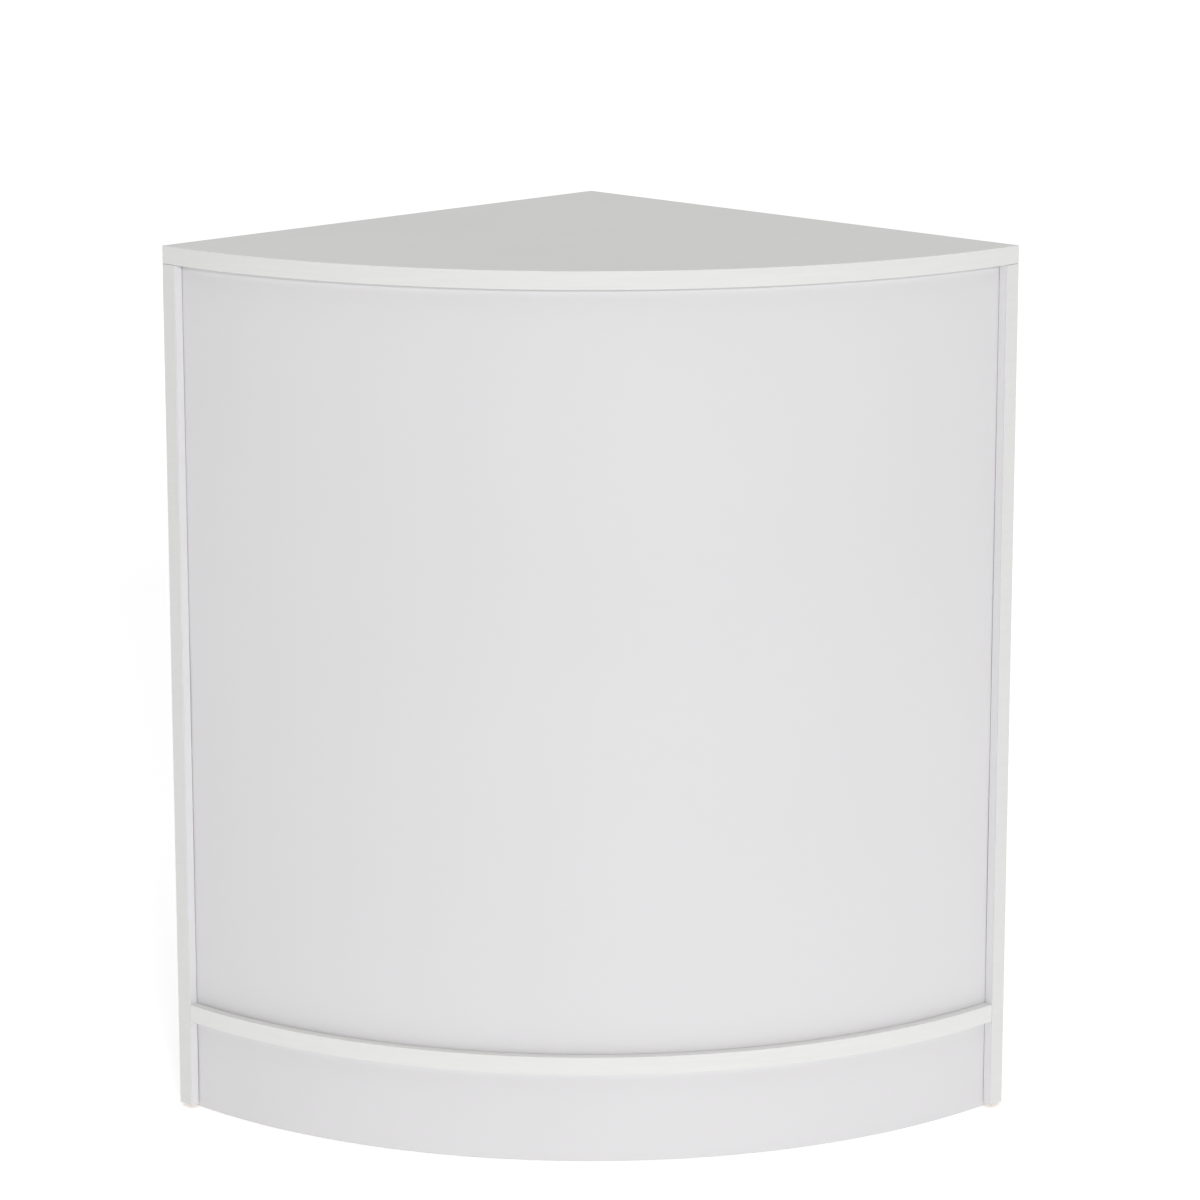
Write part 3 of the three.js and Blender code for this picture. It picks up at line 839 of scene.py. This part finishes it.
def cross(width, arm, low, high):
    """A four-armed recess cutter about Z."""
    points = []
    for k in range(4):
        c, s = math.cos(k * math.pi / 2), math.sin(k * math.pi / 2)
        for x, y in ((arm, -width), (arm, width), (width, width)):
            points.append((x * c - y * s, x * s + y * c))
    return prism(points, low, high)


def make_cam(node, at, axis, facing):
    """A cam standing on its open end: a cross recess in the shown face, a window towards the stud."""
    window = 3.6 * MM
    slot, arm, slot_depth = 0.8 * MM, 4.5 * MM, 1.6 * MM
    arrow, arrow_back, arrow_half, arrow_depth = 7.1 * MM, 5.4 * MM, 0.9 * MM, 0.5 * MM
    mouth_from, mouth_to = -0.2 * MM, 9 * MM
    profile = [(AXIS, 0), (CAM_RADIUS, 0), (CAM_RADIUS, CAM_HEIGHT), (AXIS, CAM_HEIGHT)]
    body = turned(rounded(profile, 0.4 * MM), sides=48)
    piece = finished(f"{node}_fine", placed(body, at, axis, facing), CAST_ZINC)
    recess = cross(slot, arm, -PAST, slot_depth)
    triangle = [(arrow, 0), (arrow_back, arrow_half), (arrow_back, -arrow_half)]
    pointer = prism(triangle, -PAST, arrow_depth)
    mouth = block((mouth_from, mouth_to), (-window, window), (MID - window, MID + window))
    combine(piece, "DIFFERENCE", *(placed(tool, at, axis, facing) for tool in (recess, pointer, mouth)))
    stand_for(flatten_faces(piece), node)


def make_stud(node, at, axis):
    """A stud from its threaded tip: the shank in the board, a neck, and the head that the cam holds."""
    bite, end = STUD_BITE, STUD_BITE + CAM_REACH - 1 * MM
    neck = end - 4.5 * MM
    root, shank, head = 2.6 * MM, 2.5 * MM, 3.2 * MM
    thread = threaded(2.9 * MM, 0.6 * MM, 2.2 * MM, 0, bite)
    start, collar_low, collar_high = bite - 1 * MM, bite + 0.3 * MM, bite + 1.2 * MM
    profile = [(AXIS, start), (root, start), (head, collar_low), (head, collar_high),
               (shank, bite + 2 * MM), (shank, neck), (head, neck + 1 * MM), (head, end), (AXIS, end)]
    piece = finished(f"{node}_fine", placed(thread, at, axis), BRIGHT_STEEL)
    combine(piece, "UNION", placed(turned(rounded(profile, 0.3 * MM)), at, axis))
    stand_for(flatten_faces(piece), node)


def make_cam_fittings():
    """A cam and its stud at each joint of a side panel with the top, and with the base."""
    for where in STATIONS:
        side, u, _, cam_z = station(f"top_cam_{where}")
        make_cam(f"top_cam_{where}", place(side, u, BOARD, cam_z), -inward(side), UP)
        make_stud(f"top_stud_{where}", place(side, u, MID, TOP_LOW + STUD_BITE), -UP)
        side, u, v, _ = station(f"base_cam_{where}")
        stud_z = station(f"base_stud_{where}")[3]
        make_cam(f"base_cam_{where}", place(side, u, v, BASE_LOW), UP, -inward(side))
        make_stud(f"base_stud_{where}", place(side, u, BOARD - STUD_BITE, stud_z), inward(side))


def make_dowels():
    """Fluted dowels with chamfered ends."""
    flutes, points, flute_depth = 24, 4, 0.22 * MM
    chamfer, end_scale = 1 * MM, 0.8
    for side in SIDES:
        low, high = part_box(f"top_dowel_{side}")
        middle = (low + high) / 2
        levels = ((low.z, end_scale), (low.z + chamfer, 1.0), (high.z - chamfer, 1.0), (high.z, end_scale))
        shape = bmesh.new()
        rings = []
        for z, scale in levels:
            ring = []
            for i in range(flutes * points):
                angle = 2 * math.pi * i / (flutes * points)
                radius = (DOWEL - (0.0 if i % points else flute_depth)) * scale
                x, y = middle.x + radius * math.cos(angle), middle.y + radius * math.sin(angle)
                ring.append(shape.verts.new((x, y, z)))
            rings.append(ring)
        skin(shape, rings)
        stand_for(finished(f"top_dowel_{side}_fine", shape, BEECH), f"top_dowel_{side}")


def make_pegs():
    """Shelf pegs: a pin, a flange against the panel, and an arm under the shelf."""
    pin, flange, arm = 2.3 * MM, 4.2 * MM, 3.5 * MM
    flange_at, arm_at, arm_end = 9 * MM, 9.8 * MM, 18 * MM
    profile = [(AXIS, 0), (pin, 0), (pin, flange_at), (flange, flange_at), (flange, arm_at), (arm, arm_at),
               (arm, arm_end), (AXIS, arm_end)]
    start = BOARD - PEG_HOLE_DEPTH + 1.1 * MM
    for where in STATIONS:
        node = f"shelf_peg_{where}"
        side, _, _, z = station(node)
        u = station(f"top_cam_{where}")[1]
        peg = turned(rounded(profile, 0.5 * MM, steps=4), sides=40)
        shape = placed(peg, place(side, u, start, z), inward(side))
        stand_for(finished(f"{node}_fine", shape, WHITE_PLASTIC), node)


# ---- Screws ----------------------------------------------------------------------------------------

def screw_centre(where):
    low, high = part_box(f"base_screw_{where}")
    return (low.x + high.x) / 2, (low.y + high.y) / 2


def make_screw(node, at, axis, length, shank, head, head_length, neck=None):
    """A countersunk wood screw standing on its tip, with a cross recess in its head."""
    plain = length * 0.62
    under = length - head_length
    rim = 0.35 * MM
    neck = neck or shank
    thread = threaded(shank, shank * 0.32, shank * 0.9, 0, plain, tip=shank * 2.2)
    top = [(AXIS, plain - 1 * MM), (shank * 0.7, plain - 1 * MM), (shank * 0.8, plain + 0.5 * MM),
           (neck * 0.85, under), (head, length - rim), (head, length), (AXIS, length)]
    piece = finished(f"{node}_fine", placed(thread, at, axis), SCREW_ZINC)
    combine(piece, "UNION", placed(turned(rounded(top, 0.15 * MM)), at, axis))
    recess = cross(head * 0.13, head * 0.55, length - head * 0.5, length + PAST)
    combine(piece, "DIFFERENCE", placed(recess, at, axis))
    stand_for(flatten_faces(piece), node)


def make_screws():
    for where in SCREW_PLACES:
        low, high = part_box(f"base_screw_{where}")
        at = (*screw_centre(where), low.z)
        make_screw(f"base_screw_{where}", at, UP, high.z - low.z,
                   shank=2.6 * MM, head=5 * MM, head_length=3 * MM, neck=3.4 * MM)
    for where in STATIONS:
        side, u = block_fixings(where)[:2]
        z = station(f"foot_screw_{where}")[3]
        at = place(side, u, BOARD - BLOCK_SCREW_BITE, z)
        make_screw(f"foot_screw_{where}", at, inward(side), BLOCK_SCREW,
                   shank=1.7 * MM, head=3.6 * MM, head_length=1.8 * MM)


# ---- Feet ------------------------------------------------------------------------------------------

BLOCK_OFFSET = 13 * MM  # from the stem to the screw, and to the spigot
BLOCK_HALF = 20 * MM
BLOCK_DEPTH = 22 * MM
BLOCK_SCREW_BITE = 12 * MM
BLOCK_SCREW = BLOCK_SCREW_BITE + BLOCK_DEPTH + 2 * MM
BLOCK_SCREW_HOLE = 2 * MM
SPIGOT = 4 * MM
SPIGOT_LENGTH = 9 * MM
STEM = 4 * MM
STEM_BORE = 4.4 * MM


def foot_centre(where):
    low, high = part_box(f"foot_pad_{where}")
    return (low.x + high.x) / 2, (low.y + high.y) / 2


def block_fixings(where):
    """Side, the screw's u, and the spigot's u. The screw is the one nearer the middle of the panel."""
    side, u, _, _ = station(f"foot_pad_{where}")
    inboard = -BLOCK_OFFSET if where.endswith("front") else BLOCK_OFFSET
    return side, u + inboard, u - inboard


def block_fixing_holes(side, end):
    _, screw_u, spigot_u = block_fixings(f"{side}_{end}")
    z = station(f"foot_screw_{side}_{end}")[3]
    into = inward(side)
    return [placed(drill(BLOCK_SCREW_HOLE, BLOCK_SCREW_BITE + FIT), place(side, screw_u, BOARD, z), into),
            placed(drill(SPIGOT + FIT, SPIGOT_LENGTH + FIT), place(side, spigot_u, BOARD, z), into)]


def make_foot_block(where):
    """A moulded block with a bore for the stem, a spigot, a screw hole and pockets in its inner face."""
    node = f"foot_block_{where}"
    low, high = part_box(node)
    side, screw_u, spigot_u = block_fixings(where)
    into = inward(side)
    z = station(f"foot_screw_{where}")[3]
    centre = foot_centre(where)
    middle_u = (screw_u + spigot_u) / 2
    near, far = BOARD + FIT, BOARD + FIT + BLOCK_DEPTH
    u_low, u_high = middle_u - BLOCK_HALF, middle_u + BLOCK_HALF
    corners = ((u_low, near), (u_high, near), (u_high, far), (u_low, far))
    outline = [plan(side, u, v) for u, v in corners]
    piece = finished(f"{node}_fine", prism(outline, low.z, high.z, 1 * MM), BLACK_PLASTIC)
    tip, joined = -SPIGOT_LENGTH - FIT, 1 * MM
    spigot = turned(rounded([(AXIS, tip), (SPIGOT, tip), (SPIGOT, joined), (AXIS, joined)], 0.6 * MM))
    combine(piece, "UNION", placed(spigot, place(side, spigot_u, near, z), into))
    bore = turned([(STEM_BORE, low.z - PAST), (STEM_BORE, high.z + PAST)], sides=36)
    screw_hole = turned([(BLOCK_SCREW_HOLE, -PAST), (BLOCK_SCREW_HOLE, BLOCK_DEPTH + PAST)], HOLE_SIDES)
    pocket_half, pocket_depth, wall, web = 4 * MM, 2.5 * MM, 4 * MM, 5 * MM
    pockets = []
    for u in (screw_u, spigot_u):
        for z_range in ((low.z + wall, z - web), (z + web, high.z - wall)):
            shape = block((-pocket_half, pocket_half), z_range, (-pocket_depth, PAST))
            pockets.append(placed(shape, place(side, u, far, 0), into, forward(side)))
    screw_hole = placed(screw_hole, place(side, screw_u, near, z), into)
    combine(piece, "DIFFERENCE", placed(bore, (*centre, 0)), screw_hole)
    combine(piece, "DIFFERENCE", merged(*pockets))
    stand_for(flatten_faces(piece), node)


def make_foot_stem(where):
    """M8 stem: thread above and below a hexagon collar, and a screwdriver slot in the top."""
    node = f"foot_stem_{where}"
    low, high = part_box(node)
    centre = foot_centre(where)
    collar_low, collar_high, corner = 6.5 * MM, 12 * MM, 7.2 * MM
    slot_half, slot_reach, slot_depth = 0.6 * MM, 5 * MM, 2 * MM
    thread_depth, pitch = 0.62 * MM, 1.25 * MM
    stem = threaded(STEM, thread_depth, pitch, low.z, high.z)
    piece = finished(f"{node}_fine", placed(stem, (*centre, 0)), BRIGHT_STEEL)
    turns = [k * math.pi / 3 for k in range(6)]
    outline = [(corner * math.cos(turn), corner * math.sin(turn)) for turn in turns]
    hexagon = prism(outline, collar_low, collar_high, 0.4 * MM)
    along = forward(station(node)[0])
    combine(piece, "UNION", placed(hexagon, (*centre, 0), UP, -along))
    slot_z = (high.z - slot_depth, high.z + PAST)
    slot = block((-slot_reach, slot_reach), (-slot_half, slot_half), slot_z)
    combine(piece, "DIFFERENCE", placed(slot, (*centre, 0), UP, along))
    stand_for(flatten_faces(piece), node)


def make_foot_pad(where):
    """A pad with a hollow in its sole, a domed rim, and a socket for the stem."""
    node = f"foot_pad_{where}"
    pad, rim, socket, top, neck = 12 * MM, 3 * MM, 4 * MM, 6 * MM, 7.2 * MM
    hollow = 0.5 * MM
    profile = [(AXIS, hollow), (6 * MM, hollow), (6.6 * MM, 0), (11.2 * MM, 0), (pad, 0.8 * MM), (pad, rim),
               (10 * MM, 4.4 * MM), (neck + 0.6 * MM, 4.9 * MM), (neck, top), (STEM_BORE, top),
               (STEM_BORE, socket), (AXIS, socket)]
    shape = turned(rounded(profile, 0.35 * MM), sides=64)
    piece = finished(f"{node}_fine", placed(shape, (*foot_centre(where), 0)), BLACK_PLASTIC)
    stand_for(flatten_faces(piece), node)


def make_feet():
    for where in STATIONS:
        make_foot_block(where)
        make_foot_stem(where)
        make_foot_pad(where)


# ---- Studio ----------------------------------------------------------------------------------------

CAMERA_AT = (0.0034, -4.1677, 1.4678)
CAMERA_LOOK = (0.0094, 0.0, 0.6079)
LENS = 123.54
SENSOR = 36.0
SHIFT_Y = -0.08

# Soft suns: name, where the light comes from as (azimuth, elevation) in degrees, strength, and degrees
# across. Azimuth 0 is the customers' side, and 90 is +X.
SUNS = (
    ("overhead", (0.0, 84.0), 1.64, 80.0),
    ("key", (11.0, 17.0), 1.2, 8.0),
    ("rear", (170.0, 35.0), 0.42, 70.0),
)
LAMP_DISTANCE = 3.0
WORLD = 0.12
FLOOR_REACH = 30.0
FLOOR_PALE = (0.8, 0.8, 0.8)
FLOOR_GLOW = 0.41
WHITE = (1.0, 1.0, 1.0, 1.0)


def make_floor():
    """A wide pale floor that glows a little, so that it stays even to its far edge."""
    shape = bmesh.new()
    near, far = -FLOOR_REACH, FLOOR_REACH
    corners = ((near, near), (far, near), (far, far), (near, far))
    shape.faces.new([shape.verts.new((x, y, 0)) for x, y in corners])
    shader = Shader("floor", FLOOR_PALE, 0.8, specular=0.1)
    shader.color(shader.mix(shader.noise(0.7), FLOOR_PALE, shade(FLOOR_PALE, 1.02)))
    shader.set("Emission Color", WHITE)
    shader.set("Emission Strength", FLOOR_GLOW)
    finished("floor", shape, shader.material)


def make_sun(name, azimuth, elevation, strength, across):
    light = bpy.data.lights.new(name, "SUN")
    light.energy = strength
    light.angle = math.radians(across)
    turn, rise = math.radians(azimuth), math.radians(elevation)
    level = math.cos(rise)
    towards = Vector((math.sin(turn) * level, -math.cos(turn) * level, math.sin(rise)))
    lamp = bpy.data.objects.new(name, light)
    lamp.location = towards * LAMP_DISTANCE
    lamp.rotation_euler = towards.to_track_quat("Z", "Y").to_euler()
    bpy.context.scene.collection.objects.link(lamp)


def make_studio():
    make_floor()
    for name, (azimuth, elevation), strength, across in SUNS:
        make_sun(name, azimuth, elevation, strength, across)
    world = bpy.data.worlds.new("studio")
    world.use_nodes = True
    background = world.node_tree.nodes["Background"]
    background.inputs["Color"].default_value = WHITE
    background.inputs["Strength"].default_value = WORLD
    bpy.context.scene.world = world
    bpy.context.scene.view_settings.view_transform = "Standard"


def make_camera():
    data = bpy.data.cameras.new("camera")
    data.lens = LENS
    data.sensor_width = SENSOR
    data.shift_y = SHIFT_Y
    camera = bpy.data.objects.new("camera", data)
    camera.location = CAMERA_AT
    towards = Vector(CAMERA_LOOK) - Vector(CAMERA_AT)
    camera.rotation_euler = towards.to_track_quat("-Z", "Y").to_euler()
    bpy.context.scene.collection.objects.link(camera)
    bpy.context.scene.camera = camera


make_camera()
make_top()
for each_side in SIDES:
    make_panel(each_side)
make_base()
make_shelf()
make_plinth_frame()
make_sheet("front_sheet", FRONT_ROWS)
make_sheet("plinth_sheet", PLINTH_ROWS)
make_cam_fittings()
make_dowels()
make_pegs()
make_screws()
make_feet()
make_studio()
